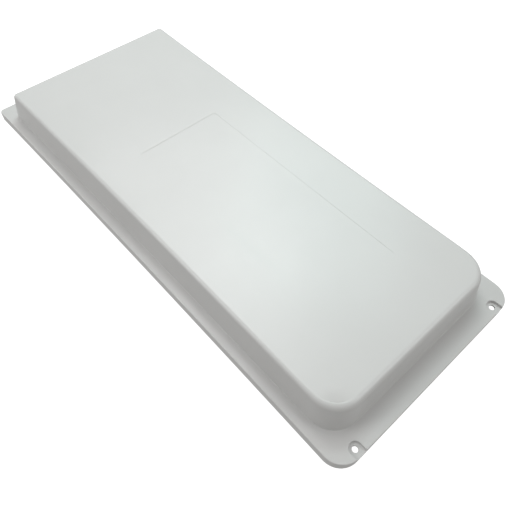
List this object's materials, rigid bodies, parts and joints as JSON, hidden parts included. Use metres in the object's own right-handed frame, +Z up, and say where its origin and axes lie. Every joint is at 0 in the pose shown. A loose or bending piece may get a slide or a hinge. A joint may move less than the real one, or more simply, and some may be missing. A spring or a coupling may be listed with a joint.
{
  "type": "roof vent cover",
  "caption": "Low rectangular moulded roof vent cover over a collared base: air rises through the screened collar and leaves under the cover's raised rim; the cover lifts off.",
  "frame": {"origin": "on the roof surface, under the middle of the cover's outline", "axes": "+Z up from the roof; +X along the cover towards the end with the large corner radii; +Y to the cover's right side"},
  "size_m": [0.595, 0.2538, 0.0566],
  "materials": {
    "cover_plastic": "satin moulded white",
    "base_plastic": "satin moulded off-white",
    "gasket_foam": "closed-cell foam",
    "screen_wire": "woven wire",
    "strip_metal": "mill",
    "bracket_metal": "zinc plated",
    "pad_rubber": "matt",
    "screw_steel": "bright stainless"
  },
  "bodies": {
    "base": {"base_frame": "base_plastic", "insect_screen": "screen_wire", "roof_gasket_left": "gasket_foam", "roof_gasket_right": "gasket_foam", "roof_gasket_near": "gasket_foam", "roof_gasket_far": "gasket_foam", "screen_strip_left": "strip_metal", "screen_strip_right": "strip_metal", "screen_strip_near": "strip_metal", "screen_strip_far": "strip_metal", "strip_screws": "screw_steel", "support_bracket_far_left": "bracket_metal", "support_bracket_far_right": "bracket_metal", "support_bracket_middle_left": "bracket_metal", "support_bracket_middle_right": "bracket_metal", "support_bracket_near_left": "bracket_metal", "support_bracket_near_right": "bracket_metal", "support_pad_far_left": "pad_rubber", "support_pad_far_right": "pad_rubber", "support_pad_middle_left": "pad_rubber", "support_pad_middle_right": "pad_rubber", "support_pad_near_left": "pad_rubber", "support_pad_near_right": "pad_rubber", "bracket_screws": "screw_steel"},
    "cover": {"cover_shell": "cover_plastic"}
  },
  "joints": [
    {"name": "cover_lift", "type": "slide", "parent": "base", "child": "cover", "axis": [0, 0, 1], "range_m": [0, 0.12]}
  ]
}
